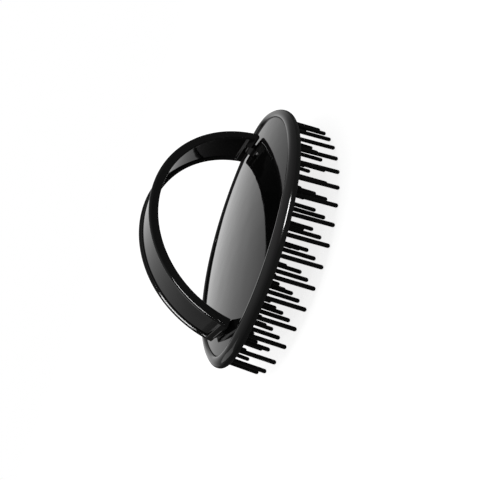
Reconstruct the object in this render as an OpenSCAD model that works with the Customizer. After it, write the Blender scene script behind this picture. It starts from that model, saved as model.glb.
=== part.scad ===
// Palm massage brush: oval body with concentric rings of round-tipped pins below
// and a hinged arch handle above. Millimetres, +Z up, origin on the floor under
// the middle of the body; the brush stands on its pin tips. +X is the hinge end.

/* [Body outline] */
// Length of the opening inside the rim
open_len = 106; // [102:1:112]
// Width of the opening inside the rim
open_wid = 76.8; // [72:0.4:82]
// Radius of the oval's two ends
end_r = 18; // [16:0.5:20]
// Height of the rim's inner edge above the floor
rim_h = 19.7; // [16:0.1:24]

/* [Rim] */
// Radius of the rounded bead on top of the rim
bead_r = 2.6; // [2.4:0.05:2.9]
// How far the bead's centre lies outside the opening
bead_out = 1.05; // [0.9:0.05:1.3]
// How far the bead's centre lies below the rim's inner edge
bead_drop = 1.9; // [1.7:0.05:2.1]
// Radius of the rim's lower outer edge
foot_r = 1.4; // [1.1:0.1:1.6]
// Width of the ledge between the cover and the pin bed
ledge_w = 2.2; // [1.6:0.1:3]
// Thickness of the ledge
ledge_t = 0.6; // [0.5:0.05:0.8]

/* [Back cover] */
// Depth of the cover's edge below the rim's inner edge
cover_drop = 0.8; // [0.6:0.1:1]
// Thickness of the cover at its edge
cover_t = 1; // [0.9:0.1:1.3]
// Rise of the cover from its edge to its middle
crown = 4; // [3.8:0.1:4.3]
// Gap between the cover's edge and the rim
cover_gap = 0.1; // [0.05:0.01:0.15]

/* [Pin bed] */
// Thickness of the bed that carries the pins
bed_t = 1.5; // [1.4:0.1:1.8]
// How far the bed reaches outside the line of the opening
bed_out = 1.3; // [1.1:0.1:1.4]
// Gap between the bed's edge and the rim
bed_gap = 0.05; // [0.03:0.01:0.1]

/* [Pins] */
// Radius of a pin and of its round tip
pin_r = 0.75; // [0.6:0.01:0.85]
// Depth of a pin's socket in the bed
socket_depth = 1.1; // [0.9:0.05:1.15]
// Clearance of a pin in its socket
pin_fit = 0.02; // [0.01:0.01:0.05]
// How far the outer ring of tips lies outside the line of the opening
tip_out = 1.45; // [1:0.05:1.8]
// Distance between two rings of tips
ring_pitch = 7.8; // [7.4:0.1:8.2]
// Number of pins in the first ring from the rim
ring_1_pins = 40; // [36:2:42]
// Number of pins in the second ring
ring_2_pins = 32; // [28:2:34]
// Number of pins in the third ring
ring_3_pins = 24; // [20:2:26]
// Number of pins in the fourth ring
ring_4_pins = 18; // [16:2:20]
// Number of pins in the fifth ring
ring_5_pins = 12; // [10:2:12]
// Number of pins in the middle row
middle_pins = 3; // [1:1:4]
// Distance between two pins of the middle row
middle_pitch = 8; // [7:0.1:8.5]
// Lean of a pin along the body at the end of the opening
lean_x = 0.059; // [0:0.001:0.07]
// Lean of a pin across the body at the side of the opening
lean_y = 0.167; // [0:0.001:0.18]
// Height of the tips at the body's ends above those in the middle
end_lift = 1.5; // [0:0.1:2]
// Height of the tips in the middle above those at the sides
middle_lift = 0.45; // [0.2:0.05:0.8]

/* [Handle] */
// Distance of the arch's outer face from the opening's end at the catch
catch_inset = 5.7; // [5:0.1:8]
// Distance of the arch's outer face from the opening's end at the hinge
hinge_inset = 10.9; // [9:0.1:13]
// Depth of the arch's centre below the rim's inner edge
arch_drop = 6.55; // [6:0.05:7]
// Width of the handle
handle_w = 16.8; // [15:0.1:18]
// Thickness of the handle at its flanges and pads
handle_t = 3.5; // [3.3:0.1:3.8]
// Width of a flange along the handle's edge
flange_w = 1.2; // [1:0.1:1.6]
// Depth of the recess between the flanges, on each face
recess = 0.95; // [0.6:0.05:1.1]
// Gap between the cover and the solid pad at the catch
pad_gap = 0.3; // [0.25:0.05:0.5]
// Angle from the top of the arch to the solid pad at the catch
catch_pad_deg = 76.8; // [75:0.1:77.5]
// Angle from the top of the arch to the solid pad at the hinge
hinge_pad_deg = 73.2; // [72:0.1:73.4]

/* [Catch] */
// Width of the tongue that enters the cover
tongue_w = 4.6; // [4:0.1:5.4]
// Thickness of the tongue
tongue_t = 2.6; // [2.2:0.1:2.8]
// Radius of the fillets between the tongue and the pad
tongue_fillet = 1.7; // [1.4:0.1:1.8]
// Gap between the tongue's tip and the pin bed
tongue_gap = 0.3; // [0.2:0.05:0.4]
// Gap round the tongue in its slot
slot_gap = 0.3; // [0.25:0.01:0.4]

/* [Hinge] */
// Angle from the top of the arch to the hinge axis
hinge_deg = 77.3; // [77:0.1:77.5]
// Radius of the hinge pin
axle_r = 0.75; // [0.7:0.01:0.8]
// Clearance of the hinge pin in the handle
axle_fit = 0.05; // [0.03:0.01:0.08]
// Clearance of the hinge pin in the cover's lug
lug_fit = 0.02; // [0.01:0.01:0.04]
// Width of the lug
lug_w = 4.6; // [4:0.1:5.4]
// Radius of the lug's top, and half its thickness
lug_r = 1.35; // [1.25:0.05:1.45]
// Gap between the lug and the handle's notch on each side
notch_gap = 0.15; // [0.1:0.01:0.2]
// Height of the notch above the hinge axis
notch_h = 2.05; // [2:0.05:2.15]
// Gap between the turning end of the handle and the cover
sweep_gap = 0.3; // [0.25:0.05:0.4]
// Depth of the hinge pin's outer end below the handle's side
axle_sunk = 0.5; // [0.3:0.1:1]
// Wall left between the hinge pin's bore and the handle's other side
axle_wall = 2; // [1.5:0.1:3]

/* [Hidden] */

// The outline is an oval of four tangent arcs. Two small arcs have their centres
// on the X axis, two large arcs have theirs on the Y axis.
half_len = open_len / 2;
half_wid = open_wid / 2;
end_x = half_len - end_r;
side_r = (end_x * end_x + half_wid * half_wid - end_r * end_r) / (2 * (half_wid - end_r));
side_y = side_r - half_wid;
join_deg = atan2(side_y, end_x);

// Heights, from the floor up
cover_edge_z = rim_h - cover_drop;
cover_bottom_z = cover_edge_z - cover_t;
bed_top_z = cover_bottom_z - ledge_t;
bed_bottom_z = bed_top_z - bed_t;
socket_z = bed_bottom_z + socket_depth;

// The cover is crowned both ways: an arc along the body, turned about an axis
// below the body that runs along it.
crown_z = cover_edge_z + crown;
crown_len_r = (half_len * half_len + crown * crown) / (2 * crown);
crown_wid_r = (half_wid * half_wid + crown * crown) / (2 * crown);

// The arch and its hinge
arch_r = half_len - (catch_inset + hinge_inset) / 2;
arch_x = (catch_inset - hinge_inset) / 2;
arch_z = rim_h - arch_drop;
hinge_rad = arch_r - handle_t / 2;
hinge_x = arch_x + hinge_rad * sin(hinge_deg);
hinge_z = arch_z + hinge_rad * cos(hinge_deg);
sweep_r = hinge_z - cover_top(hinge_x) - sweep_gap;
edge_r = flange_w / 2;
// Either end of the arch lies this far from its top.
arch_deg = acos((cover_top(arch_x - arch_r + handle_t) + pad_gap - arch_z) / (arch_r - handle_t));

// The tongue and its slot
tongue_tip_z = bed_top_z + tongue_gap;
tongue_deg = acos((tongue_tip_z - arch_z) / arch_r);
pad_end_z = arch_z + arch_r * cos(arch_deg);
slot_x0 = arch_x - arch_r * sin(tongue_deg) - slot_gap;
slot_x1 = arch_x - (arch_r - tongue_t) * sin(arch_deg) + slot_gap;

// Cutters reach this far past what they cut.
over = 1;

$fn = 48;
big_fn = 180;
crown_fn = 256;

// Height of the cover along its middle line, at distance x from the middle
function cover_top(x) = crown_z - crown_len_r + sqrt(crown_len_r * crown_len_r - x * x);

// ---- Points along an oval that lies o outside the opening's line ----
function arc_start(o) = end_r + o > 0 ? join_deg : asin(side_y / (side_r + o));
function end_arc(o) = max(0, end_r + o) * join_deg * PI / 180;
function side_arc(o) = (side_r + o) * (90 - arc_start(o)) * PI / 180;
function quarter(o) = end_arc(o) + side_arc(o);

// Point of the first quarter, at distance s from the +X end
function quarter_point(o, s) =
    s < end_arc(o)
    ? let (a = s / (end_r + o) * 180 / PI)
      [end_x + (end_r + o) * cos(a), (end_r + o) * sin(a)]
    : let (a = arc_start(o) + (s - end_arc(o)) / (side_r + o) * 180 / PI)
      [(side_r + o) * cos(a), (side_r + o) * sin(a) - side_y];

// Point of the whole oval: the quarters mirror each other.
function oval_point(o, s) =
    let (q = quarter(o), k = floor(s / q), r = s - k * q)
    k == 0 ? quarter_point(o, r)
    : k == 1 ? let (p = quarter_point(o, q - r)) [-p.x, p.y]
    : k == 2 ? let (p = quarter_point(o, r)) [-p.x, -p.y]
    : let (p = quarter_point(o, q - r)) [p.x, -p.y];

// Tips of one ring, equally spaced along it from the +X end
ring_pins = [ring_1_pins, ring_2_pins, ring_3_pins, ring_4_pins, ring_5_pins];
function ring_tips(i) =
    let (o = tip_out - (i - 1) * ring_pitch, n = ring_pins[i - 1])
    [for (k = [0 : n - 1]) oval_point(o, 4 * quarter(o) * k / n)];
function middle_tips() =
    [for (k = [0 : middle_pins - 1]) [(k - (middle_pins - 1) / 2) * middle_pitch, 0]];

// Lowest point of a pin, from the floor
function tip_z(p) =
    middle_lift * max(0, 1 - pow(p.y / (half_wid + tip_out), 2))
    + end_lift * pow(p.x / half_len, 2);

// ---- Outlines ----
module oval(o) {
    for (s = [-1, 1])
        translate([s * end_x, 0])
            circle(r = end_r + o, $fn = big_fn);
    intersection() {
        translate([0, -side_y])
            circle(r = side_r + o, $fn = big_fn);
        translate([0, side_y])
            circle(r = side_r + o, $fn = big_fn);
        reach = 2 * side_r;
        dx = end_x + reach * cos(join_deg);
        dy = reach * sin(join_deg);
        polygon([[end_x, 0], [dx, dy], [-dx, dy], [-end_x, 0], [-dx, -dy], [dx, -dy]]);
    }
}

module oval_plate(o, z0, z1) {
    translate([0, 0, z0])
        linear_extrude(z1 - z0)
            oval(o);
}

// Carries a section, drawn at distance x outside the opening's line, round the oval.
module round_oval() {
    for (s = [0, 180])
        rotate(s) {
            translate([end_x, 0])
                rotate(-join_deg)
                    rotate_extrude(angle = 2 * join_deg, $fn = big_fn)
                        translate([end_r, 0])
                            children();
            translate([0, -side_y])
                rotate(join_deg)
                    rotate_extrude(angle = 180 - 2 * join_deg, $fn = big_fn)
                        translate([side_r, 0])
                            children();
        }
}

// ---- Rim ----
module rim_section() {
    bead_z = rim_h - bead_drop;
    foot_z = bed_bottom_z + foot_r;
    // The lower edge's arc touches the bead's arc, this far below the horizontal.
    meet_deg = asin((bead_z - foot_z) / (bead_r - foot_r));
    foot_x = bead_out + (bead_r - foot_r) * cos(meet_deg);
    meet = [bead_out + bead_r * cos(meet_deg), bead_z - bead_r * sin(meet_deg)];
    seat_x = bed_out + bed_gap;
    reach = 2 * bead_r;
    intersection() {
        translate([bead_out, bead_z])
            circle(r = bead_r);
        polygon([[0, rim_h + bead_r],
                 [0, bead_z],
                 [bead_out, bead_z],
                 [bead_out + reach * cos(meet_deg), bead_z - reach * sin(meet_deg)],
                 [bead_out + reach, rim_h + bead_r]]);
    }
    intersection() {
        translate([foot_x, foot_z])
            circle(r = foot_r);
        polygon([[foot_x, foot_z],
                 [foot_x + reach * cos(meet_deg), foot_z - reach * sin(meet_deg)],
                 [foot_x + reach, foot_z - reach],
                 [foot_x, foot_z - reach]]);
    }
    polygon([[0, bed_top_z],
             [0, bead_z],
             [bead_out, bead_z],
             meet,
             [foot_x, foot_z],
             [foot_x, bed_bottom_z],
             [seat_x, bed_bottom_z],
             [seat_x, bed_top_z]]);
}

// The ledge reaches into the rim, which makes the four swept lengths one piece.
module ledge() {
    difference() {
        oval_plate(bead_out, bed_top_z, cover_bottom_z);
        oval_plate(-ledge_w, bed_top_z - over, cover_bottom_z + over);
    }
}

module rim_frame() {
    color([0.13, 0.13, 0.13]) {
        round_oval()
            rim_section();
        ledge();
    }
}

// ---- Back cover ----
// A thick shell whose outer face is the crown. Its section lies along the body.
module crowned_shell() {
    depth = crown + cover_t + over;
    half_deg = asin(half_wid / (crown_wid_r - depth));
    translate([0, 0, crown_z - crown_wid_r])
        rotate([0, 90, 0])
            rotate(180 - half_deg)
                rotate_extrude(angle = 2 * half_deg, $fn = crown_fn)
                    intersection() {
                        translate([crown_wid_r - crown_len_r, 0])
                            circle(r = crown_len_r, $fn = crown_fn);
                        translate([crown_wid_r - depth, -half_len])
                            square([depth + over, 2 * half_len]);
                    }
}

module hinge_lug() {
    stem_h = hinge_z - cover_bottom_z - cover_t / 2;
    translate([hinge_x, lug_w / 2, hinge_z])
        rotate([90, 0, 0])
            linear_extrude(lug_w) {
                circle(r = lug_r);
                translate([-lug_r, -stem_h])
                    square([2 * lug_r, stem_h]);
            }
}

module back_cover() {
    color([0.04, 0.04, 0.045])
        difference() {
            union() {
                intersection() {
                    oval_plate(-cover_gap, cover_bottom_z, crown_z + over);
                    crowned_shell();
                }
                hinge_lug();
            }
            translate([slot_x0, -tongue_w / 2 - slot_gap, cover_bottom_z - over])
                cube([slot_x1 - slot_x0, tongue_w + 2 * slot_gap, crown + cover_t + 2 * over]);
            hinge_bore(lug_w, axle_r + lug_fit);
        }
}

// A bore along the hinge axis, centred on the middle of the brush
module hinge_bore(width, r) {
    translate([hinge_x, width / 2 + over, hinge_z])
        rotate([90, 0, 0])
            cylinder(r = r, h = width + 2 * over);
}

// ---- Pins ----
// Carries what is drawn on the axis of the pin whose tip is at p. The axis is the
// local Z, from the centre of the round tip upwards.
module on_pin_axis(p) {
    lx = lean_x * p.x / half_len;
    ly = lean_y * p.y / half_wid;
    n = norm([lx, ly, 1]);
    translate([p.x, p.y, tip_z(p) + pin_r])
        rotate([asin(ly / n), atan2(-lx, 1), 0])
            children();
}

// Length of a pin from the centre of its tip to its flat root
function shank(p) =
    let (lx = lean_x * p.x / half_len, ly = lean_y * p.y / half_wid)
    (socket_z - tip_z(p) - pin_r) * norm([lx, ly, 1]);

module pins(tips) {
    color([0.09, 0.09, 0.09])
        for (p = tips)
            on_pin_axis(p) {
                sphere(r = pin_r, $fn = 32);
                cylinder(r = pin_r, h = shank(p), $fn = 32);
            }
}

module sockets(tips) {
    for (p = tips)
        on_pin_axis(p)
            translate([0, 0, shank(p) - bed_t - over])
                cylinder(r = pin_r + pin_fit, h = bed_t + over, $fn = 32);
}

module pin_bed() {
    color([0.11, 0.11, 0.11])
        difference() {
            oval_plate(bed_out, bed_bottom_z, bed_top_z);
            for (i = [1 : 5])
                sockets(ring_tips(i));
            sockets(middle_tips());
        }
}

// ---- Handle ----
// Part of the arch between two angles from its top, positive towards the hinge
module arch(from_deg, to_deg) {
    translate([arch_x, 0, arch_z])
        rotate([90, 0, 0])
            rotate([0, 0, 90 - to_deg])
                rotate_extrude(angle = to_deg - from_deg, $fn = big_fn)
                    children();
}

// Section of the handle at full thickness, with rounded edges
module pad_section() {
    x0 = arch_r - handle_t;
    translate([x0, -handle_w / 2 + edge_r])
        square([handle_t, handle_w - 2 * edge_r]);
    translate([x0 + edge_r, -handle_w / 2])
        square([handle_t - 2 * edge_r, handle_w]);
    for (x = [x0 + edge_r, arch_r - edge_r])
        for (s = [-1, 1])
            translate([x, s * (handle_w / 2 - edge_r)])
                circle(r = edge_r);
}

// Section of the two recesses that leave a thin web between rounded flanges
module recess_section() {
    x0 = arch_r - handle_t;
    y1 = handle_w / 2 - edge_r;
    difference() {
        for (x = [x0 - over, arch_r - recess])
            translate([x, -y1])
                square([recess + over, 2 * y1]);
        for (s = [-1, 1])
            translate([0, s * y1]) {
                translate([x0 + edge_r, -edge_r])
                    square([handle_t - 2 * edge_r, flange_w]);
                for (x = [x0 + edge_r, arch_r - edge_r])
                    translate([x, 0])
                        circle(r = edge_r);
            }
    }
}

// Front view of the tongue: a stem that widens into the pad with two fillets
module tongue_outline() {
    side = [for (a = [0 : 9 : 90])
               [tongue_w / 2 + tongue_fillet * (1 - cos(a)),
                pad_end_z - tongue_fillet * (1 - sin(a))]];
    top = [[tongue_w / 2 + tongue_fillet, pad_end_z + edge_r]];
    half = concat([[tongue_w / 2, tongue_tip_z]], side, top);
    polygon(concat(half, [for (i = [len(half) - 1 : -1 : 0]) [-half[i].x, half[i].y]]));
}

module tongue() {
    intersection() {
        arch(-tongue_deg - over, -catch_pad_deg)
            translate([arch_r - tongue_t, -handle_w / 2])
                square([tongue_t, handle_w]);
        translate([arch_x - arch_r - over, 0, 0])
            rotate([90, 0, 90])
                linear_extrude(arch_r)
                    tongue_outline();
    }
}

// What the hinge end loses: the notch for the lug, and all that would touch the
// cover while the handle turns
module hinge_cuts() {
    below = 3 * handle_t;
    notch_w = lug_w + 2 * notch_gap;
    translate([hinge_x - below, -notch_w / 2, hinge_z - below])
        cube([2 * below, notch_w, below + notch_h]);
    translate([hinge_x, handle_w, hinge_z])
        rotate([90, 0, 0])
            linear_extrude(2 * handle_w)
                difference() {
                    translate([-below, -below])
                        square([2 * below, below]);
                    circle(r = sweep_r);
                }
}

module axle_bore() {
    length = handle_w - axle_wall;
    translate([hinge_x, handle_w / 2 + over, hinge_z])
        rotate([90, 0, 0])
            cylinder(r = axle_r + axle_fit, h = length + over);
}

module handle() {
    color([0.05, 0.05, 0.055])
        difference() {
            union() {
                arch(-arch_deg, arch_deg)
                    pad_section();
                tongue();
            }
            arch(-catch_pad_deg, hinge_pad_deg)
                recess_section();
            hinge_cuts();
            axle_bore();
        }
}

module hinge_pin() {
    length = handle_w - axle_wall - axle_sunk - axle_fit;
    color([0.7, 0.7, 0.7])
        translate([hinge_x, handle_w / 2 - axle_sunk, hinge_z])
            rotate([90, 0, 0])
                cylinder(r = axle_r, h = length);
}

rim_frame();
back_cover();
pin_bed();
pins(ring_tips(1));  // pins_ring_1
pins(ring_tips(2));  // pins_ring_2
pins(ring_tips(3));  // pins_ring_3
pins(ring_tips(4));  // pins_ring_4
pins(ring_tips(5));  // pins_ring_5
pins(middle_tips());  // pins_middle_row
handle();
hinge_pin();
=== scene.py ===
# %% [markdown]
# # A palm massage brush with an arched hand loop
#
# The brush is an oval plate that lies in the palm. Its back is a glossy cover set in a satin rim. Under
# it stand 129 round-tipped pins in concentric ovals, and over it a stiff strap arches for the fingers.
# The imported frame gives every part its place, and this lesson dresses it. First come the finishes, then
# rim, cover, hand loop and pins, and last camera, room and lamps.

import math

import bmesh
import bpy
from mathutils import Matrix, Quaternion, Vector


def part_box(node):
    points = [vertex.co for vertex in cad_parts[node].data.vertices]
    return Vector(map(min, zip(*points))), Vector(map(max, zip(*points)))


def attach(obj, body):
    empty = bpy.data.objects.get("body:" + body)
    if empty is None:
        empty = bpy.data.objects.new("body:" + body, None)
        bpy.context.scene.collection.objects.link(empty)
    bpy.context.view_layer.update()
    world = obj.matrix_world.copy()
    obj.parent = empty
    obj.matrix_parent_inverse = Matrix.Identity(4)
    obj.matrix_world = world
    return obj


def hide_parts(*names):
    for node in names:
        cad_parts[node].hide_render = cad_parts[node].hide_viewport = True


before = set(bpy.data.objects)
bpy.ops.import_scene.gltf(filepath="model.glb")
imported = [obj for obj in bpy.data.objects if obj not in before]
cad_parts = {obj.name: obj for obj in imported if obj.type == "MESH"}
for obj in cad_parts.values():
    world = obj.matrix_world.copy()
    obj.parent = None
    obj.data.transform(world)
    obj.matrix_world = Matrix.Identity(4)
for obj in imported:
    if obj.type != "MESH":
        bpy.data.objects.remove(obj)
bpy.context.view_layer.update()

# %% [markdown]
# ## Sizes
#
# Everything is in metres. The places come from the boxes of the frame's nodes, so that a new size of the
# frame moves the pieces with it, while typed numbers would stay behind. The sizes that a box can't tell,
# such as a radius, are named in millimetres where they are first needed.

# %% Read the places from the frame
MM = 0.001

rim_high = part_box("rim_frame")[1]
cover_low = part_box("back_cover")[0]
bed_low, bed_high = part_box("pin_bed")
loop_low, loop_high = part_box("handle")
axle_low, axle_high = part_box("hinge_pin")

BEAD_R = 2.6 * MM
BEAD_OUT = 1.05 * MM
COVER_T = 1.0 * MM
COVER_DROP = 0.8 * MM

half_len = rim_high[0] - BEAD_OUT - BEAD_R
half_wid = rim_high[1] - BEAD_OUT - BEAD_R
bed_bottom = bed_low[2]
bed_top = bed_high[2]
cover_bottom = cover_low[2]
cover_edge = cover_bottom + COVER_T
rim_h = cover_edge + COVER_DROP
print("opening inside the rim:", round(2 * half_len / MM, 2), "x", round(2 * half_wid / MM, 2), "mm")

# %% [markdown]
# ## The oval
#
# The body is an oval of four arcs that run into each other: a small one at each end and a large one at
# each side. A stretched circle would be quicker, but a curve at an even distance from an ellipse isn't an
# ellipse, while arcs stay arcs. A station on the oval is a centre, a direction and a radius. Moving a
# station in or out along its direction gives the same oval, wider or narrower, so rim, groove, cover and
# rings of pins all follow one function.

# %% Stations round the oval
END_R = 18.0 * MM
end_x = half_len - END_R
side_r = (end_x ** 2 + half_wid ** 2 - END_R ** 2) / (2 * (half_wid - END_R))
side_y = side_r - half_wid
join = math.atan2(side_y, end_x)


def oval_stations(end_steps=40, side_steps=120):
    """Centre x, centre y, radius and direction angle, all round the oval."""
    stations = []
    for turn in (0, math.pi):
        for i in range(end_steps):
            a = turn - join + 2 * join * i / end_steps
            stations.append((end_x * math.cos(turn), 0.0, END_R, a))
        for i in range(side_steps):
            a = turn + join + (math.pi - 2 * join) * i / side_steps
            stations.append((0.0, -side_y * math.cos(turn), side_r, a))
    return stations


def at_station(station, out, z):
    """The point a distance out from the opening's line, at height z."""
    cx, cy, radius, a = station
    return (cx + (radius + out) * math.cos(a), cy + (radius + out) * math.sin(a), z)


STATIONS = oval_stations()
print("stations:", len(STATIONS), "side arc radius:", round(side_r / MM, 2), "mm")

# %% [markdown]
# ## Small mesh helpers
#
# Most pieces are lofts: a row of closed loops with the same number of points, joined by quads and closed
# by a face at each end. A curve with a bevel profile could make some of them, but its corners follow the
# curve's own rules, and a loft puts every point where the piece needs it. The shortest loft is a box: two
# squares, one above the other.

# %% Arc, loft and build helpers


def arc(cx, cy, r, start, stop, steps):
    """Points of an arc in degrees, both ends included."""
    angles = [math.radians(start + (stop - start) * i / steps) for i in range(steps + 1)]
    return [(cx + r * math.cos(a), cy + r * math.sin(a)) for a in angles]


def loft(loops, ring=False):
    """Vertices and faces of a skin over closed loops; ring joins the last loop to the first."""
    n = len(loops[0])
    verts = [p for loop in loops for p in loop]
    faces = []
    rows = len(loops) if ring else len(loops) - 1
    for i in range(rows):
        a = i * n
        b = ((i + 1) % len(loops)) * n
        for j in range(n):
            k = (j + 1) % n
            faces.append((a + j, a + k, b + k, b + j))
    if not ring:
        faces.append(tuple(range(n)))
        faces.append(tuple(len(verts) - n + j for j in range(n)))
    return verts, faces


def build(name, verts, faces):
    """A linked mesh object at the origin, with its normals outwards."""
    mesh = bpy.data.meshes.new(name)
    mesh.from_pydata([tuple(v) for v in verts], [], faces)
    bm = bmesh.new()
    bm.from_mesh(mesh)
    bmesh.ops.recalc_face_normals(bm, faces=bm.faces)
    bm.to_mesh(mesh)
    bm.free()
    obj = bpy.data.objects.new(name, mesh)
    bpy.context.scene.collection.objects.link(obj)
    return obj


square = arc(0.0, 0.0, 1.0, 0.0, 270.0, 3)
box_verts, box_faces = loft([[(x, y, z) for x, y in square] for z in (0.0, 1.0)])
print("a box as a loft:", len(box_verts), "points,", len(box_faces), "faces")

# %% [markdown]
# A moulded piece is smooth where it curves and crisp at its edges, so shading keeps each edge that is
# sharper than an angle. Cuts and joints are Boolean modifiers with the exact solver, which also copes with
# faces that touch. Each modifier is baked at once, so that a piece stays a plain mesh.

# %% Shade, bake and cut helpers


def smooth(obj, degrees):
    """Shade smooth, but keep every edge sharper than the angle."""
    obj.data.polygons.foreach_set("use_smooth", [True] * len(obj.data.polygons))
    obj.data.set_sharp_from_angle(angle=math.radians(degrees))


def bake_modifiers(obj):
    """Replace the object's mesh by the result of its modifiers."""
    view = bpy.context.evaluated_depsgraph_get()
    mesh = bpy.data.meshes.new_from_object(obj.evaluated_get(view))
    obj.modifiers.clear()
    obj.data = mesh


def cut(obj, tool, kind="DIFFERENCE"):
    """Cut the tool's shape from the object, or join it, and remove the tool."""
    modifier = obj.modifiers.new("cut", "BOOLEAN")
    modifier.operation = kind
    modifier.solver = "EXACT"
    modifier.object = tool
    bake_modifiers(obj)
    bpy.data.objects.remove(tool)


# %% [markdown]
# Every piece ends in the same way. It gets its material, it rides on the body that it moves with, and it
# takes the place of the frame's plain solid.

# %% Finish a piece


def finish_piece(obj, body, slot, material, *nodes):
    """Give a piece its finish, its body and the CAD nodes that it stands for."""
    obj.data.materials.clear()
    obj.data.materials.append(material)
    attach(obj, body)
    if nodes:
        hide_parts(*nodes)
    print(obj.name, "faces:", len(obj.data.polygons))


# %% [markdown]
# ## Finishes
#
# A finish is a small tree of nodes. Pictures of plastic could do the same, but noise needs no file, shows
# no seam and stays sharp at any distance. Four helpers cover what the finishes share: an empty material, a
# noise, a range and a mix of two greys.

# %% Node helpers


def new_material(name):
    """An empty node material with its output."""
    material = bpy.data.materials.new(name)
    material.use_nodes = True
    tree = material.node_tree
    tree.nodes.clear()
    output = tree.nodes.new("ShaderNodeOutputMaterial")
    return material, tree, output


def noise(tree, scale, detail, vector):
    """A noise texture on the given vector."""
    node = tree.nodes.new("ShaderNodeTexNoise")
    node.inputs["Scale"].default_value = scale
    node.inputs["Detail"].default_value = detail
    tree.links.new(vector, node.inputs["Vector"])
    return node.outputs["Fac"]


def spread(tree, value, low, high, from_low=0.3, from_high=0.7):
    """Map a 0 to 1 value to a range."""
    node = tree.nodes.new("ShaderNodeMapRange")
    node.inputs["From Min"].default_value = from_low
    node.inputs["From Max"].default_value = from_high
    node.inputs["To Min"].default_value = low
    node.inputs["To Max"].default_value = high
    tree.links.new(value, node.inputs["Value"])
    return node.outputs["Result"]


def grey_between(tree, value, low, high):
    """Mix two greys by a value."""
    node = tree.nodes.new("ShaderNodeMix")
    node.data_type = "RGBA"
    node.inputs["A"].default_value = (low, low, low, 1.0)
    node.inputs["B"].default_value = (high, high, high, 1.0)
    tree.links.new(value, node.inputs["Factor"])
    return node.outputs["Result"]


# %% [markdown]
# Cover and hand loop are moulded in black ABS from a polished tool, so they are glossy with a trace of
# ripple. The rim is the same black plastic from a finely blasted tool, and the pins are a softer, duller
# one. None of them is a flat colour: each gets a slow variation of roughness and a fine bump at the scale
# of its own tool. One function with a few numbers serves all four, so that they stay one family.

# %% Moulded plastic
TINT_SCALE = 45.0
WEAR_SCALE = 260.0
RIPPLE_SCALE = 90.0
PLASTIC_IOR = 1.5
BUMP_STRENGTH = 0.5


def plastic(name, low, high, rough, grain_scale, grain_depth, ripple_depth=0.0):
    """Moulded plastic: two close greys, a range of roughness and a bump of the tool's grain."""
    material, tree, output = new_material(name)
    place = tree.nodes.new("ShaderNodeTexCoord").outputs["Object"]
    shader = tree.nodes.new("ShaderNodeBsdfPrincipled")
    shader.inputs["IOR"].default_value = PLASTIC_IOR
    slow = noise(tree, TINT_SCALE, 3.0, place)
    tree.links.new(grey_between(tree, slow, low, high), shader.inputs["Base Color"])
    wear = noise(tree, WEAR_SCALE, 6.0, place)
    tree.links.new(spread(tree, wear, *rough), shader.inputs["Roughness"])
    grain = tree.nodes.new("ShaderNodeBump")
    grain.inputs["Strength"].default_value = BUMP_STRENGTH
    grain.inputs["Distance"].default_value = grain_depth
    tree.links.new(noise(tree, grain_scale, 2.0, place), grain.inputs["Height"])
    if ripple_depth:
        ripple = tree.nodes.new("ShaderNodeBump")
        ripple.inputs["Strength"].default_value = BUMP_STRENGTH
        ripple.inputs["Distance"].default_value = ripple_depth
        tree.links.new(noise(tree, RIPPLE_SCALE, 1.0, place), ripple.inputs["Height"])
        tree.links.new(ripple.outputs["Normal"], grain.inputs["Normal"])
    tree.links.new(grain.outputs["Normal"], shader.inputs["Normal"])
    tree.links.new(shader.outputs["BSDF"], output.inputs["Surface"])
    return material


gloss_black = plastic("gloss_black", 0.003, 0.005, rough=(0.03, 0.06), grain_scale=2500.0,
                      grain_depth=0.001 * MM, ripple_depth=0.150 * MM)
satin_black = plastic("satin_black", 0.005, 0.008, rough=(0.09, 0.14), grain_scale=3500.0,
                      grain_depth=0.004 * MM)
pin_black = plastic("pin_black", 0.003, 0.006, rough=(0.18, 0.26), grain_scale=3000.0,
                    grain_depth=0.004 * MM)
bed_black = plastic("bed_black", 0.004, 0.007, rough=(0.42, 0.55), grain_scale=2200.0,
                    grain_depth=0.020 * MM)
print("finishes:", [m.name for m in (gloss_black, satin_black, pin_black, bed_black)])

# %% [markdown]
# Wire is drawn through a die, which leaves fine lines along it. An anisotropic shader could hint at them,
# but it would need tangents. A noise stretched along Y, the hinge pin's length, draws the lines themselves
# into the roughness.

# %% Drawn steel
MARKS_SCALE = (4000.0, 60.0, 4000.0)
STEEL_GREY = (0.60, 0.60, 0.62, 1.0)
STEEL_ROUGH = (0.22, 0.36)


def drawn_steel():
    """Bright steel with fine drawing marks."""
    material, tree, output = new_material("steel")
    place = tree.nodes.new("ShaderNodeTexCoord").outputs["Object"]
    stretch = tree.nodes.new("ShaderNodeMapping")
    stretch.inputs["Scale"].default_value = MARKS_SCALE
    tree.links.new(place, stretch.inputs["Vector"])
    shader = tree.nodes.new("ShaderNodeBsdfPrincipled")
    shader.inputs["Metallic"].default_value = 1.0
    shader.inputs["Base Color"].default_value = STEEL_GREY
    marks = noise(tree, 1.0, 3.0, stretch.outputs["Vector"])
    tree.links.new(spread(tree, marks, *STEEL_ROUGH), shader.inputs["Roughness"])
    tree.links.new(shader.outputs["BSDF"], output.inputs["Surface"])
    return material


steel = drawn_steel()
print("finish:", steel.name)

# %% [markdown]
# ## The rim
#
# The rim is a ring with a bead on top, a smaller radius below it, a ledge inside that carries the cover
# and a step that takes the pin bed. Towards the cover the bead turns down in a small round of its own, so
# that only a thin dark line is left between the two. It could be a plate with a groove cut into it, but
# one section carried round the oval gives every edge its true height all the way round.

# %% Sweep the rim's section
BEAD_DROP = 2.3 * MM
FOOT_R = 1.4 * MM
LEDGE_W = 2.2 * MM
SEAT_OUT = 1.35 * MM
EDGE = 0.22 * MM


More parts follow.
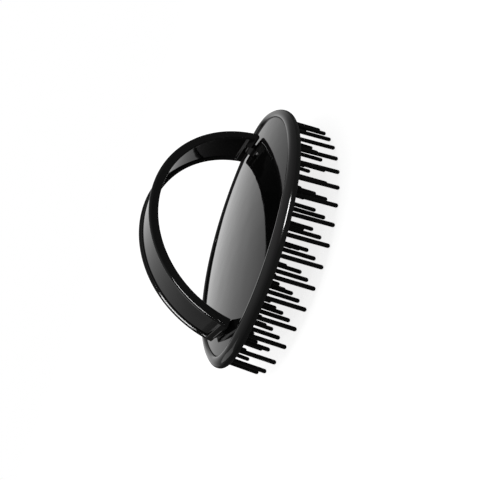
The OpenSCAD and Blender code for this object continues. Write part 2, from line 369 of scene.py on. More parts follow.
def rim_section():
    """The rim's outline as (distance out, height), counter-clockwise from the bottom of the foot."""
    bead_z = rim_h - BEAD_DROP
    foot_z = bed_bottom + FOOT_R
    meet = math.degrees(math.asin((bead_z - foot_z) / (BEAD_R - FOOT_R)))
    foot_x = BEAD_OUT + (BEAD_R - FOOT_R) * math.cos(math.radians(meet))
    outline = []
    outline += arc(foot_x, foot_z, FOOT_R, -90.0, -meet, 10)
    outline += arc(BEAD_OUT, bead_z, BEAD_R, -meet, 90.0, 30)[1:]
    outline += arc(BEAD_OUT, bead_z + BEAD_R - BEAD_OUT, BEAD_OUT, 90.0, 180.0, 12)[1:]
    outline += [(0.0, cover_bottom + EDGE), (0.0, cover_bottom)]
    outline += [(-LEDGE_W, cover_bottom), (-LEDGE_W, bed_top)]
    outline += [(SEAT_OUT, bed_top), (SEAT_OUT, bed_bottom + EDGE)]
    outline += [(SEAT_OUT + EDGE, bed_bottom)]
    return outline


section = rim_section()
loops = [[at_station(s, out, z) for out, z in section] for s in STATIONS]
rim = build("rim_bead", *loft(loops, ring=True))
smooth(rim, 32.0)
finish_piece(rim, "body", "satin_black", satin_black, "rim_frame")

# %% [markdown]
# ## The back cover
#
# The cover lies on the ledge. Its face is crowned both ways, so that it mirrors the room like a car's
# roof: an arc along the body, turned about an axis far below that runs along it. Pulling up the middle of
# a flat grid would be quick, but a gloss shows every dent of such a face. So the rings of the mesh are the
# edge's oval shrunk towards the middle, and each point takes its height from the true surface.

# %% Make the cover's plate
CROWN = 4.0 * MM
COVER_GAP = 0.1 * MM
FACE_RINGS = 60
UNDER_SHRINKS = (0.02, 0.5, 0.97)
COVER_EDGE_R = 0.25 * MM
EDGE_ANGLES = (0.0, 0.35, 0.7, 1.05, 1.4, math.pi / 2)
crown_len_r = (half_len ** 2 + CROWN ** 2) / (2 * CROWN)
crown_wid_r = (half_wid ** 2 + CROWN ** 2) / (2 * CROWN)


def cover_height(x, y):
    """Height of the cover's face over a point."""
    drop = crown_len_r - math.sqrt(crown_len_r ** 2 - x ** 2)
    return cover_edge + CROWN - crown_wid_r + math.sqrt((crown_wid_r - drop) ** 2 - y ** 2)


def cover_loops():
    """Loops from the middle of the underside, round the edge, to the middle of the face."""
    outline = [at_station(s, -COVER_GAP, cover_bottom) for s in STATIONS]
    loops = [[(x * shrink, y * shrink, z) for x, y, z in outline] for shrink in UNDER_SHRINKS]
    loops.append(outline)
    for a in EDGE_ANGLES:
        out = COVER_EDGE_R * math.cos(a) - COVER_EDGE_R
        up = COVER_EDGE_R * math.sin(a) - COVER_EDGE_R
        points = [at_station(s, -COVER_GAP + out, up) for s in STATIONS]
        loops.append([(x, y, cover_height(x, y) + z) for x, y, z in points])
    face_edge = [at_station(s, -COVER_GAP - COVER_EDGE_R, 0.0) for s in STATIONS]
    for i in range(1, FACE_RINGS):
        shrink = 1.0 - i / FACE_RINGS
        points = [(x * shrink, y * shrink) for x, y, z in face_edge]
        loops.append([(x, y, cover_height(x, y)) for x, y in points])
    return loops


cover = build("cover_plate", *loft(cover_loops()))
print("cover rings:", FACE_RINGS, "height in the middle:", round(cover_height(0.0, 0.0) / MM, 2), "mm")

# %% [markdown]
# ## Hand loop
#
# The strap is an arch with an H-section: a rounded flange runs along each edge, and the web between them
# is recessed on both faces. At each end the recess stops and leaves a solid pad. The recess could be cut
# out of a plain arch, but a Boolean leaves a hard edge where it should run out. Instead one section morphs
# along the arch. First come the arch's sizes and its angles, which are counted from the top.

# %% Sizes of the hand loop
LOOP_T = 3.5 * MM
LOOP_R = 44.7 * MM
LOOP_X = -2.6 * MM
PAD_GAP = 0.3 * MM
loop_w = loop_high[1] - loop_low[1]
loop_z = loop_high[2] - LOOP_R
pad_inner_z = cover_height(LOOP_X - LOOP_R + LOOP_T, 0.0) + PAD_GAP
loop_end = math.degrees(math.acos((pad_inner_z - loop_z) / (LOOP_R - LOOP_T)))
print("hand loop:", round(loop_w / MM, 1), "mm wide, reaching", round(loop_end, 1), "degrees to each side")

# %% [markdown]
# The full H is drawn once, as one quarter of the section that is mirrored to the other face and the other
# side. Wherever the recess is less deep, each point of the web and of the flange's inner side is pushed
# out to that depth, so that the number of points never changes and the loops still match.

# %% Draw the H-section
FLANGE_R = 0.6 * MM
WEB_FILLET = 0.35 * MM
RECESS = 0.95 * MM
CATCH_PAD = 76.8
HINGE_PAD = 73.2
RAMP_DEG = 0.7
WEB_STEPS = (0.0, 0.25, 0.5, 0.75, 0.9)
FILLET_ANGLES = (0.3, 0.7, 1.1, math.pi / 2)


def loop_point(degrees_from_top, radius, y):
    """A point of the arch, with the angle positive towards the hinge."""
    a = math.radians(degrees_from_top)
    return (LOOP_X + radius * math.sin(a), y, loop_z + radius * math.cos(a))


def recess_at(angle):
    """Depth of the recess along the arch: full in the span, none in the pads, with short ramps."""
    inside = min(angle + CATCH_PAD, HINGE_PAD - angle)
    t = max(0.0, min(1.0, inside / RAMP_DEG))
    return RECESS * t * t * (3.0 - 2.0 * t)


def half_face():
    """One face's edge from the web's middle to the side: (y, depth below the face)."""
    flange_y = loop_w / 2 - FLANGE_R
    inner_y = flange_y - FLANGE_R
    points = [(inner_y * t, RECESS) for t in WEB_STEPS]
    points += [(inner_y - WEB_FILLET * (1.0 - math.sin(a)), RECESS - WEB_FILLET * (1.0 - math.cos(a)))
               for a in FILLET_ANGLES]
    points += [(y, FLANGE_R - d) for y, d in arc(flange_y, 0.0, FLANGE_R, 180.0, 0.0, 12)]
    return points


def loop_section(angle):
    """The closed section at an angle, as (y, radius)."""
    depth = recess_at(angle)
    edge = [(y, min(d, depth) if y < loop_w / 2 - FLANGE_R else d) for y, d in half_face()]
    outer = [(y, LOOP_R - d) for y, d in edge]
    inner = [(y, LOOP_R - LOOP_T + d) for y, d in edge]
    half = outer + inner[::-1]
    return half + [(-y, r) for y, r in half[::-1]][1:-1]


for angle in (0.0, loop_end):
    print("points in the section at", round(angle, 1), "degrees:", len(loop_section(angle)))

# %% [markdown]
# The arch needs many stations, because a gloss shows a coarse one as flat bands. They lie at equal angles,
# with a few more where the recess runs out.

# %% Loft the strap
LOOP_STEPS = 320
RAMP_STEP = 0.1
RAMP_STATIONS = 9


def loop_angles():
    """Angles of the loft's stations, closer together where the recess runs out."""
    angles = [loop_end * (2 * i / LOOP_STEPS - 1.0) for i in range(LOOP_STEPS + 1)]
    for i in range(RAMP_STATIONS):
        angles += [RAMP_STEP * i - CATCH_PAD, HINGE_PAD - RAMP_STEP * i]
    return sorted(set(round(a, 3) for a in angles))


loops = [[loop_point(a, r, y) for y, r in loop_section(a)] for a in loop_angles()]
strap = build("hand_loop", *loft(loops))
print("hand loop stations:", len(loops), "points in a section:", len(loops[0]))

# %% [markdown]
# The end faces of a moulding are never knife-sharp. A Bevel modifier that works by the angle finds their
# edges by itself. It comes before any cut, because it needs the clean faces of the loft.

# %% Round the strap's end faces
END_BEVEL = 0.2 * MM
bevel = strap.modifiers.new("edges", "BEVEL")
bevel.width = END_BEVEL
bevel.segments = 3
bevel.limit_method = "ANGLE"
bevel.angle_limit = math.radians(60.0)
bake_modifiers(strap)
print("hand loop faces after the bevel:", len(strap.data.polygons))

# %% [markdown]
# ## Tongue and slot
#
# At the catch end a narrow tongue grows out of the pad and dips through a slot in the cover. Its sides
# flow into the pad with fillets. A bar with bevelled corners would meet the pad at a hard line, so it is
# lofted from rounded rectangles that follow the arch's curve and flare towards the pad. A union then makes
# one skin of both.

# %% Loft the tongue
TONGUE_W = 4.6 * MM
TONGUE_T = 2.6 * MM
TONGUE_FILLET = 1.7 * MM
TONGUE_CORNER = 0.3 * MM
TONGUE_GAP = 0.3 * MM
TONGUE_ROOT = 0.4 * MM
TIP_ROUND = 0.25 * MM
tongue_tip = bed_top + TONGUE_GAP
pad_end = loop_z + LOOP_R * math.cos(math.radians(loop_end))


def tongue_half_width(z):
    """Half the tongue's width at a height: straight, then flaring into the pad."""
    below = pad_end - z
    if below >= TONGUE_FILLET:
        return TONGUE_W / 2
    rise = TONGUE_FILLET - max(0.0, below)
    return TONGUE_W / 2 + TONGUE_FILLET - math.sqrt(max(0.0, TONGUE_FILLET ** 2 - rise ** 2))


def tongue_loop(z, inset):
    """A rounded rectangle across the tongue at a height."""
    half = tongue_half_width(z) - inset
    reach = math.sqrt(LOOP_R ** 2 - (z - loop_z) ** 2)
    back = math.sqrt((LOOP_R - TONGUE_T) ** 2 - (z - loop_z) ** 2)
    x0 = LOOP_X - reach + inset
    x1 = LOOP_X - back - inset
    r = TONGUE_CORNER
    outline = []
    for cx, cy, start in ((x1 - r, half - r, 0.0), (x0 + r, half - r, 90.0),
                          (x0 + r, r - half, 180.0), (x1 - r, r - half, 270.0)):
        outline += arc(cx, cy, r, start, start + 90.0, 4)
    return [(x, y, z) for x, y in outline]


straight = pad_end - TONGUE_FILLET - tongue_tip
tip_steps = ((0.0, 1.0), (0.4, 0.4), (1.0, 0.0))
levels = [(tongue_tip + TIP_ROUND * rise, TIP_ROUND * inset) for rise, inset in tip_steps]
levels += [(tongue_tip + straight * t, 0.0) for t in (0.4, 0.7)]
levels += [(pad_end - TONGUE_FILLET * (1.0 - i / 10), 0.0) for i in range(11)]
levels += [(pad_end + TONGUE_ROOT, 0.0)]
tongue = build("tongue", *loft([tongue_loop(z, inset) for z, inset in levels]))
cut(strap, tongue, "UNION")
print("tongue:", round(TONGUE_W / MM, 1), "mm wide, tip at", round(tongue_tip / MM, 2), "mm")

# %% [markdown]
# ## The hinge
#
# At the other end the pad is notched for a lug that stands on the cover, and a pin goes through both.
# What would scrape the cover while the loop turns is rounded about the pin's axis. All three cuts are
# plain outlines in X and Z carried along Y, so one helper makes every tool. Modelling the notched end by
# hand would hide the rule behind it, and here each clearance keeps its own name.

# %% Cut the hinge end
LUG_W = 4.6 * MM
NOTCH_GAP = 0.15 * MM
NOTCH_H = 2.05 * MM
SWEEP_GAP = 0.3 * MM
AXLE_FIT = 0.05 * MM
AXLE_WALL = 2.0 * MM
CUT_REACH = 12.0 * MM
hinge_x = (axle_low[0] + axle_high[0]) / 2
hinge_z = (axle_low[2] + axle_high[2]) / 2
axle_r = (axle_high[2] - axle_low[2]) / 2
sweep_r = hinge_z - cover_height(hinge_x, 0.0) - SWEEP_GAP


def prism(name, outline, y0, y1):
    """An outline in X and Z, measured from the hinge axis, carried along Y."""
    loops = [[(hinge_x + x, y, hinge_z + z) for x, z in outline] for y in (y0, y1)]
    return build(name, *loft(loops))


def circle(r):
    """A circle of 48 points about the hinge axis."""
    return arc(0.0, 0.0, r, 0.0, 352.5, 47)


far = CUT_REACH
notch = [(-far, -far), (far, -far), (far, NOTCH_H), (-far, NOTCH_H)]
sweep = [(-far, 0.0)] + arc(0.0, 0.0, sweep_r, 180.0, 360.0, 32) + [(far, 0.0), (far, -far), (-far, -far)]
half_notch = LUG_W / 2 + NOTCH_GAP
cut(strap, prism("notch", notch, -half_notch, half_notch))
cut(strap, prism("sweep", sweep, -loop_w, loop_w))
cut(strap, prism("bore", circle(axle_r + AXLE_FIT), -loop_w / 2 + AXLE_WALL, loop_w))
smooth(strap, 34.0)
finish_piece(strap, "handle", "gloss_black", gloss_black, "handle")

# %% [markdown]
# The lug is moulded on the cover, so it is joined to the plate, and its bore and the tongue's slot are then
# cut from the one skin. A lug that merely stood in the plate would show a seam at its foot.

# %% Finish the cover
LUG_R = 1.35 * MM
LUG_FIT = 0.02 * MM
SLOT_GAP = 0.3 * MM
stem = hinge_z - cover_bottom - COVER_T / 2
lug_outline = arc(0.0, 0.0, LUG_R, 0.0, 180.0, 20) + [(-LUG_R, -stem), (LUG_R, -stem)]
cut(cover, prism("lug", lug_outline, -LUG_W / 2, LUG_W / 2), "UNION")
cut(cover, prism("lug_bore", circle(axle_r + LUG_FIT), -LUG_W, LUG_W))

tip_angle = math.acos((tongue_tip - loop_z) / LOOP_R)
slot_x0 = LOOP_X - LOOP_R * math.sin(tip_angle) - SLOT_GAP
slot_x1 = LOOP_X - (LOOP_R - TONGUE_T) * math.sin(math.radians(loop_end)) + SLOT_GAP
slot_y = TONGUE_W / 2 + SLOT_GAP
slot_corners = ((slot_x0, -slot_y), (slot_x1, -slot_y), (slot_x1, slot_y), (slot_x0, slot_y))
slot_heights = (cover_bottom - MM, cover_edge + CROWN + MM)
slot_loops = [[(x, y, z) for x, y in slot_corners] for z in slot_heights]
cut(cover, build("slot", *loft(slot_loops)))
smooth(cover, 28.0)
finish_piece(cover, "body", "gloss_black", gloss_black, "back_cover")

# %% [markdown]
# The hinge pin is a length of drawn steel wire with its ends broken by a small chamfer. A cylinder with a
# bevel would do as well, but four circles in a loft are shorter and give the chamfer at once.

# %% Make the hinge pin
CHAMFER = 0.15 * MM


def pin_loop(y, r):
    """A circle about the hinge axis, at y."""
    return [(hinge_x + x, y, hinge_z + z) for x, z in circle(r)]


y0, y1 = axle_low[1], axle_high[1]
axle_loops = [pin_loop(y0, axle_r - CHAMFER), pin_loop(y0 + CHAMFER, axle_r),
              pin_loop(y1 - CHAMFER, axle_r), pin_loop(y1, axle_r - CHAMFER)]
axle = build("hinge_axle", *loft(axle_loops))
smooth(axle, 30.0)
finish_piece(axle, "body", "steel", steel, "hinge_pin")

# %% [markdown]
# ## The pins
#
# The pins stand in rings. Every ring is the oval again, moved in by the same step, with pins at equal
# distances along it. Equal angles would crowd them at the ends, so the place is found by walking along the
# arcs. An inner ring that is moved in past the end arc's centre has only the two side arcs left, which meet
# in a point at each end.

# %% Walk along the oval
TIP_OUT = 1.45 * MM


def oval_point(out, s):
    """The point at distance s along the oval from its +X end, and the length of a quarter."""
    end_radius = END_R + out
    start = join if end_radius > 0 else math.asin(side_y / (side_r + out))
    end_arc = max(0.0, end_radius) * join
    quarter = end_arc + (side_r + out) * (math.pi / 2 - start)
    turn, rest = divmod(s, quarter)
    turn = int(turn) % 4
    if turn in (1, 3):
        rest = quarter - rest
    if rest < end_arc:
        a = rest / end_radius
        x, y = end_x + end_radius * math.cos(a), end_radius * math.sin(a)
    else:
        a = start + (rest - end_arc) / (side_r + out)
        x, y = (side_r + out) * math.cos(a), (side_r + out) * math.sin(a) - side_y
    return (-x if turn in (1, 2) else x), (-y if turn in (2, 3) else y), quarter


print("length of the outer ring:", round(4 * oval_point(TIP_OUT, 0.0)[2] / MM, 1), "mm")

# %% [markdown]
# A pin leans outwards more the nearer it stands to the rim, and the tips form a slightly curved surface.
# So a pin is told by three things: where its round tip is, which way it points and how long it is.

# %% Place the tips and aim the pins
RING_PITCH = 7.8 * MM
RING_PINS = (40, 32, 24, 18, 12)
MIDDLE_PINS = 3
MIDDLE_PITCH = 8.0 * MM
PIN_R = 0.75 * MM
SOCKET_DEPTH = 1.1 * MM
LEAN_X = 0.059
LEAN_Y = 0.167
END_LIFT = 1.5 * MM
MIDDLE_LIFT = 0.45 * MM


def ring_tips(i):
    """Tips of ring i, counted from the rim."""
    out = TIP_OUT - i * RING_PITCH
    quarter = oval_point(out, 0.0)[2]
    return [oval_point(out, 4 * quarter * k / RING_PINS[i] + 1e-9)[:2] for k in range(RING_PINS[i])]


def middle_tips():
    """Tips of the short row in the middle."""
    return [((k - (MIDDLE_PINS - 1) / 2) * MIDDLE_PITCH, 0.0) for k in range(MIDDLE_PINS)]


def pin_frame(x, y):
    """Centre of the round tip, unit axis and length up to the socket's end."""
    lift = MIDDLE_LIFT * max(0.0, 1.0 - (y / (half_wid + TIP_OUT)) ** 2) + END_LIFT * (x / half_len) ** 2
    axis = Vector((-LEAN_X * x / half_len, -LEAN_Y * y / half_wid, 1.0))
    rise = bed_bottom + SOCKET_DEPTH - lift - PIN_R
    return Vector((x, y, lift + PIN_R)), axis.normalized(), rise * axis.length


print("pins:", sum(RING_PINS) + MIDDLE_PINS)

# %% [markdown]
# Copying one pin 129 times would work, but each has its own lean and length. Geometry Nodes make them from
# points instead: every tip is a vertex with two attributes, the pin's axis and its length, and the tree
# puts a shank and a round tip on it. The radius, the number of sides and the material are named inputs.
# The tree ends by realizing the instances, because an export keeps only real geometry.

# %% Build the pin tree


def pin_tree():
    """Geometry Nodes: a shank and a round tip on every vertex."""
    tree = bpy.data.node_groups.new("pins_on_points", "GeometryNodeTree")
    sockets = tree.interface
    sockets.new_socket("Geometry", in_out="INPUT", socket_type="NodeSocketGeometry")
    sockets.new_socket("Radius", in_out="INPUT", socket_type="NodeSocketFloat")
    sockets.new_socket("Root radius", in_out="INPUT", socket_type="NodeSocketFloat")
    sockets.new_socket("Sides", in_out="INPUT", socket_type="NodeSocketInt")
    sockets.new_socket("Finish", in_out="INPUT", socket_type="NodeSocketMaterial")
    sockets.new_socket("Geometry", in_out="OUTPUT", socket_type="NodeSocketGeometry")
    new = tree.nodes.new
    link = tree.links.new
    group_in = new("NodeGroupInput").outputs

    axis = new("GeometryNodeInputNamedAttribute")
    axis.data_type = "FLOAT_VECTOR"
    axis.inputs["Name"].default_value = "axis"
    length = new("GeometryNodeInputNamedAttribute")
    length.data_type = "FLOAT"
    length.inputs["Name"].default_value = "length"
    aim = new("FunctionNodeAlignRotationToVector")
    aim.axis = "Z"
    link(axis.outputs["Attribute"], aim.inputs["Vector"])
    stretch = new("ShaderNodeCombineXYZ")
    stretch.inputs["X"].default_value = 1.0
    stretch.inputs["Y"].default_value = 1.0
    link(length.outputs["Attribute"], stretch.inputs["Z"])

    shank = new("GeometryNodeMeshCone")
    shank.fill_type = "NGON"
    shank.inputs["Depth"].default_value = 1.0
    link(group_in["Sides"], shank.inputs["Vertices"])
    link(group_in["Radius"], shank.inputs["Radius Bottom"])
    link(group_in["Root radius"], shank.inputs["Radius Top"])
    tip = new("GeometryNodeMeshUVSphere")
    tip.inputs["Rings"].default_value = 10
    link(group_in["Sides"], tip.inputs["Segments"])
    link(group_in["Radius"], tip.inputs["Radius"])

    joined = new("GeometryNodeJoinGeometry")
    for part, scaled in ((shank, True), (tip, False)):
        on_points = new("GeometryNodeInstanceOnPoints")
        link(group_in["Geometry"], on_points.inputs["Points"])
        link(part.outputs["Mesh"], on_points.inputs["Instance"])
        link(aim.outputs["Rotation"], on_points.inputs["Rotation"])
        if scaled:
            link(stretch.outputs["Vector"], on_points.inputs["Scale"])
        link(on_points.outputs["Instances"], joined.inputs["Geometry"])
    real = new("GeometryNodeRealizeInstances")
    rounded = new("GeometryNodeSetShadeSmooth")
    painted = new("GeometryNodeSetMaterial")
    link(joined.outputs["Geometry"], real.inputs["Geometry"])
    link(real.outputs["Geometry"], rounded.inputs["Geometry"])
    link(rounded.outputs["Geometry"], painted.inputs["Geometry"])
    link(group_in["Finish"], painted.inputs["Material"])
    link(painted.outputs["Geometry"], new("NodeGroupOutput").inputs["Geometry"])
    return tree


pins_on_points = pin_tree()
print("nodes in the pin tree:", len(pins_on_points.nodes))

# %% [markdown]
# Each ring becomes one object: its points go in, the tree grows the pins, and the result is kept as a
# plain mesh. A modifier knows its inputs by identifiers, not by their names, so a helper looks them up.

# %% Grow the pins
PIN_SIDES = 20


def set_input(modifier, name, value):
    """Set a modifier's input by its name in the tree."""
    for item in modifier.node_group.interface.items_tree:
        if item.item_type == "SOCKET" and item.in_out == "INPUT" and item.name == name:
            modifier[item.identifier] = value
            return
    raise KeyError(name)


def make_pins(name, tips, tree):
    """One object of pins on the given tips."""
    frames = [pin_frame(x, y) for x, y in tips]
    mesh = bpy.data.meshes.new(name)
    mesh.from_pydata([f[0] for f in frames], [], [])
    mesh.attributes.new("axis", "FLOAT_VECTOR", "POINT")
    mesh.attributes.new("length", "FLOAT", "POINT")
    for i, (_, direction, size) in enumerate(frames):
        mesh.attributes["axis"].data[i].vector = direction
        mesh.attributes["length"].data[i].value = size
    obj = bpy.data.objects.new(name, mesh)
    bpy.context.scene.collection.objects.link(obj)
    modifier = obj.modifiers.new("pins", "NODES")
    modifier.node_group = tree
    set_input(modifier, "Radius", PIN_R)
    set_input(modifier, "Root radius", PIN_R)
    set_input(modifier, "Sides", PIN_SIDES)
    set_input(modifier, "Finish", pin_black)
    bake_modifiers(obj)
    smooth(obj, 50.0)
    return obj


for i in range(len(RING_PINS)):
    ring = make_pins(f"massage_pins_{i + 1}", ring_tips(i), pins_on_points)
    finish_piece(ring, "body", "pin_black", pin_black, f"pins_ring_{i + 1}")
row = make_pins("massage_pins_middle", middle_tips(), pins_on_points)
finish_piece(row, "body", "pin_black", pin_black, "pins_middle_row")

# %% [markdown]
# ## The pin bed
#
# The bed is a plain plate with a socket for each pin, and the frame's own solid shows it exactly, so it
# stays and only gets its finish.

# %% Finish the pin bed
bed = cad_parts["pin_bed"]
for slot_index in range(len(bed.material_slots)):
    bed.material_slots[slot_index].material = bed_black
print(bed.name, "faces:", len(bed.data.polygons))

# %% [markdown]
# ## Camera
#
# The camera looks down on the standing brush from its near side, turned so that the long axis runs up the
# picture. Its place is an azimuth, an elevation, a roll and a distance about the middle of the rim. A
# Track To constraint could aim it, but can't hold such a roll, so its matrix is written out: three
# directions and a place.

# %% Aim the camera
AZIMUTH = math.radians(-34.64)
ELEVATION = math.radians(14.47)
ROLL = math.radians(-70.47)
DISTANCE = 195.3 * MM
FOCAL_PX = 494.86
IMAGE_PX = 480.0
SENSOR_MM = 36.0
SHIFT_PX = (1.69, -15.63)
target = Vector((0.0, 0.0, rim_h))

level = math.cos(ELEVATION)
back = Vector((math.sin(AZIMUTH) * level, -math.cos(AZIMUTH) * level, math.sin(ELEVATION)))
right = (-back).cross(Vector((0.0, 0.0, 1.0))).normalized()
up = right.cross(-back)
rolled_right = math.cos(ROLL) * right + math.sin(ROLL) * up
rolled_up = -math.sin(ROLL) * right + math.cos(ROLL) * up

camera_data = bpy.data.cameras.new("camera")
camera_data.sensor_width = SENSOR_MM
camera_data.lens = FOCAL_PX * SENSOR_MM / IMAGE_PX
camera_data.shift_x = -SHIFT_PX[0] / IMAGE_PX
camera_data.shift_y = SHIFT_PX[1] / IMAGE_PX
camera_data.clip_start = 0.005
camera = bpy.data.objects.new("camera", camera_data)
place = target + back * DISTANCE
camera.matrix_world = Matrix((
    (rolled_right.x, rolled_up.x, back.x, place.x),
    (rolled_right.y, rolled_up.y, back.y, place.y),
    (rolled_right.z, rolled_up.z, back.z, place.z),
    (0.0, 0.0, 0.0, 1.0),
))
bpy.context.scene.collection.objects.link(camera)
bpy.context.scene.camera = camera
print("lens:", round(camera_data.lens, 2), "mm, camera at", [round(v, 3) for v in place])

# %% [markdown]
# ## Floor, light and background
#
# Black gloss shows the room more than its own colour, so the room matters as much as the finish. What the
# gloss mirrors is a white wall behind the brush that fades to a dim room in front, as in a studio. Real
# cards and walls could be built round the brush, but they would also light it. So the room is a formula:
# its brightness is a power of the cosine of the angle to the middle of the white wall, over a dim level,
# with a soft ceiling added.

# %% Mirror a white wall that fades to a dim room
WALL_AZIMUTH = math.radians(64.0)
WALL_ELEVATION = math.radians(10.0)
WALL_LEVEL = 1.0
WALL_FALL = 5.0


def direction_to(azimuth, elevation):
    """A unit vector from an azimuth, counted from +X towards +Y, and an elevation."""
    flat = math.cos(elevation)
    return Vector((math.cos(azimuth) * flat, math.sin(azimuth) * flat, math.sin(elevation)))


def math_node(tree, operation, a, b):
    """One step of arithmetic on a socket and a number or a second socket."""
    node = tree.nodes.new("ShaderNodeMath")
    node.operation = operation
    tree.links.new(a, node.inputs[0])
    if isinstance(b, float):
        node.inputs[1].default_value = b
    else:
        tree.links.new(b, node.inputs[1])
    return node.outputs[0]


def mirrored_level(tree, view, dim, ceiling):
    """Brightness in a direction, as gloss mirrors it: white wall, soft ceiling, and dim elsewhere."""
    unit = tree.nodes.new("ShaderNodeVectorMath")
    unit.operation = "NORMALIZE"
    tree.links.new(view, unit.inputs[0])
    toward = tree.nodes.new("ShaderNodeVectorMath")
    toward.operation = "DOT_PRODUCT"
    tree.links.new(unit.outputs["Vector"], toward.inputs[0])
    toward.inputs[1].default_value = direction_to(WALL_AZIMUTH, WALL_ELEVATION)
    fade = math_node(tree, "POWER", math_node(tree, "MAXIMUM", toward.outputs["Value"], 0.0), WALL_FALL)
    level = math_node(tree, "ADD", math_node(tree, "MULTIPLY", fade, WALL_LEVEL - dim), dim)
    height = tree.nodes.new("ShaderNodeSeparateXYZ")
    tree.links.new(unit.outputs["Vector"], height.inputs[0])
    rise = math_node(tree, "POWER", math_node(tree, "MAXIMUM", height.outputs["Z"], 0.0), 2.0)
    return math_node(tree, "ADD", level, math_node(tree, "MULTIPLY", rise, ceiling))


print("white wall towards", [round(v, 2) for v in direction_to(WALL_AZIMUTH, WALL_ELEVATION)])

# %% [markdown]
# The camera sees table and room in plain white, and the light that falls on the brush stays at a plain
# level. A Light Path node tells these rays from those that the gloss mirrors, so that each can be set
# without touching the others.

# %% Choose by the ray


def by_ray(tree, lit, mirrored, seen):
    """Choose a shader by the ray: one to light with, one in gloss or glass, one for the camera."""
    path = tree.nodes.new("ShaderNodeLightPath").outputs
    glossy = math_node(tree, "MAXIMUM", path["Is Glossy Ray"], path["Is Transmission Ray"])
    result = lit
    for factor, shader in ((glossy, mirrored), (path["Is Camera Ray"], seen)):
        choose = tree.nodes.new("ShaderNodeMixShader")
        tree.links.new(factor, choose.inputs[0])
        tree.links.new(result, choose.inputs[1])
        tree.links.new(shader, choose.inputs[2])
        result = choose.outputs[0]
    return result


# %% [markdown]
# The table is one large white square. Under a light that suits the brush, white paint alone looks grey. So
# the paint only takes the soft shadow, and a glow that only the camera sees lifts it to the white of the
# background. Gloss mirrors the same fading wall in it as in the room, measured from the middle of the
# brush.

# %% Make the floor
TABLE_PAINT = 0.8
TABLE_GLOW = 0.80
TABLE_DIM = 0.04
TABLE_HALF = 40.0
BRUSH_MIDDLE = 0.03


def emission(tree, strength):
    """A white glow of a given strength, a number or a socket."""
    node = tree.nodes.new("ShaderNodeEmission")
    if isinstance(strength, float):
        node.inputs["Strength"].default_value = strength
    else:
        tree.links.new(strength, node.inputs["Strength"])
    return node.outputs[0]


def floor_material():
    """White paint that takes the shadow, with a glow on it that only the camera sees."""
    material, tree, output = new_material("table")
    paint = tree.nodes.new("ShaderNodeBsdfDiffuse")
    paint.inputs["Color"].default_value = (TABLE_PAINT, TABLE_PAINT, TABLE_PAINT, 1.0)
    seen = tree.nodes.new("ShaderNodeAddShader")
    tree.links.new(paint.outputs[0], seen.inputs[0])
    tree.links.new(emission(tree, TABLE_GLOW), seen.inputs[1])
    from_brush = tree.nodes.new("ShaderNodeVectorMath")
    from_brush.operation = "SUBTRACT"
    tree.links.new(tree.nodes.new("ShaderNodeTexCoord").outputs["Object"], from_brush.inputs[0])
    from_brush.inputs[1].default_value = (0.0, 0.0, BRUSH_MIDDLE)
    mirrored = emission(tree, mirrored_level(tree, from_brush.outputs["Vector"], TABLE_DIM, 0.0))
    tree.links.new(by_ray(tree, paint.outputs[0], mirrored, seen.outputs[0]), output.inputs["Surface"])
    return material


floor_mesh = bpy.data.meshes.new("table_top")
corners = [(TABLE_HALF * x, TABLE_HALF * y, 0.0) for x, y in ((-1, -1), (1, -1), (1, 1), (-1, 1))]
floor_mesh.from_pydata(corners, [], [(0, 1, 2, 3)])
floor = bpy.data.objects.new("table_top", floor_mesh)
bpy.context.scene.collection.objects.link(floor)
floor.data.materials.append(floor_material())
print("table:", 2 * TABLE_HALF, "m across")

# %% [markdown]
# The world is the room round the table. It gives an even fill as light, the fading wall to the gloss and
# plain white to the camera. A picture of a studio could stand in for it, but this one needs no file and
# its few numbers can be read.

# %% Light the room
ROOM_FILL = 0.35
ROOM_DIM = 0.10
CEILING_LEVEL = 0.35


def studio_world(fill):
    """An even fill as light, the fading wall in gloss, white to the camera."""
    world = bpy.data.worlds.new("studio")
    world.use_nodes = True
    tree = world.node_tree
    tree.nodes.clear()
    output = tree.nodes.new("ShaderNodeOutputWorld")
    view = tree.nodes.new("ShaderNodeTexCoord").outputs["Generated"]
    shades = []
    for strength in (fill, mirrored_level(tree, view, ROOM_DIM, CEILING_LEVEL), 1.0):
        light = tree.nodes.new("ShaderNodeBackground")
        light.inputs["Color"].default_value = (1.0, 1.0, 1.0, 1.0)
        if isinstance(strength, float):
            light.inputs["Strength"].default_value = strength
        else:
            tree.links.new(strength, light.inputs["Strength"])
        shades.append(light.outputs[0])
    tree.links.new(by_ray(tree, *shades), output.inputs["Surface"])
    bpy.context.scene.world = world


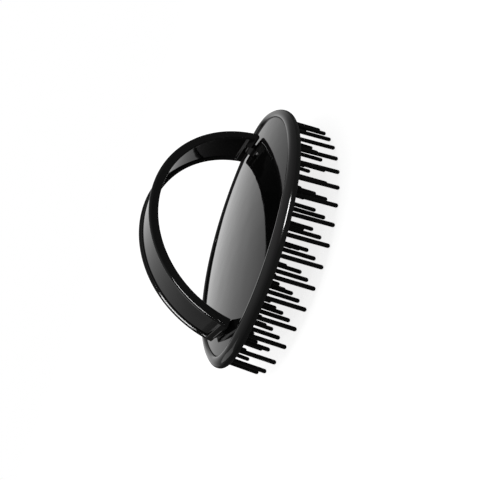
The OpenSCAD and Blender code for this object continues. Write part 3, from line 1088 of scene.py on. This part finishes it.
studio_world(ROOM_FILL)
print("world:", bpy.context.scene.world.name, "fill:", ROOM_FILL)

# %% [markdown]
# Two narrow windows stand low in front, and each draws a thin line of light along rounded edges. Light
# linking keeps them apart: one lights the hand loop alone and the other the rim alone, so that neither
# adds a second line. A weak box lifts the near end of the rim. A lamp is told by the angles that it fills
# and its brightness, because that is what a gloss shows, and its power follows from them.

# %% Hang the lamps
LAMP_DISTANCE = 0.9


def soft_lamp(name, azimuth, elevation, spread_wide, spread_high, radiance, tilt=0.0, only=None):
    """An area lamp by the angles that it fills and its brightness, seen from the brush.

    The tilt turns it about its own middle. With only, it lights that one piece.
    """
    data = bpy.data.lights.new(name, "AREA")
    data.shape = "RECTANGLE"
    data.size = 2.0 * LAMP_DISTANCE * math.tan(math.radians(spread_wide / 2))
    data.size_y = 2.0 * LAMP_DISTANCE * math.tan(math.radians(spread_high / 2))
    data.energy = radiance * data.size * data.size_y * math.pi
    lamp = bpy.data.objects.new(name, data)
    direction = direction_to(math.radians(azimuth), math.radians(elevation))
    lamp.location = target + direction * LAMP_DISTANCE
    turned = Quaternion((0.0, 0.0, 1.0), math.radians(tilt))
    lamp.rotation_euler = (direction.to_track_quat("Z", "Y") @ turned).to_euler()
    lamp.visible_camera = False
    if only:
        lit = bpy.data.collections.new(name + "_lights")
        lit.objects.link(only)
        lamp.light_linking.receiver_collection = lit
    bpy.context.scene.collection.objects.link(lamp)
    print(name, "power:", round(data.energy, 2), "W")


soft_lamp("loop_window", -99.0, 3.5, spread_wide=13.0, spread_high=25.0, radiance=34.0, tilt=-26.0,
          only=strap)
soft_lamp("rim_window", -87.0, 5.0, spread_wide=21.0, spread_high=8.0, radiance=40.0, only=rim)
soft_lamp("end_box", 142.0, 28.0, spread_wide=44.0, spread_high=28.0, radiance=1.0)

# %% [markdown]
# The Standard view shows a colour as it is written. The film-like views would grey the white table.

# %% Show the colours as written
bpy.context.scene.view_settings.view_transform = "Standard"
print("view transform:", bpy.context.scene.view_settings.view_transform)
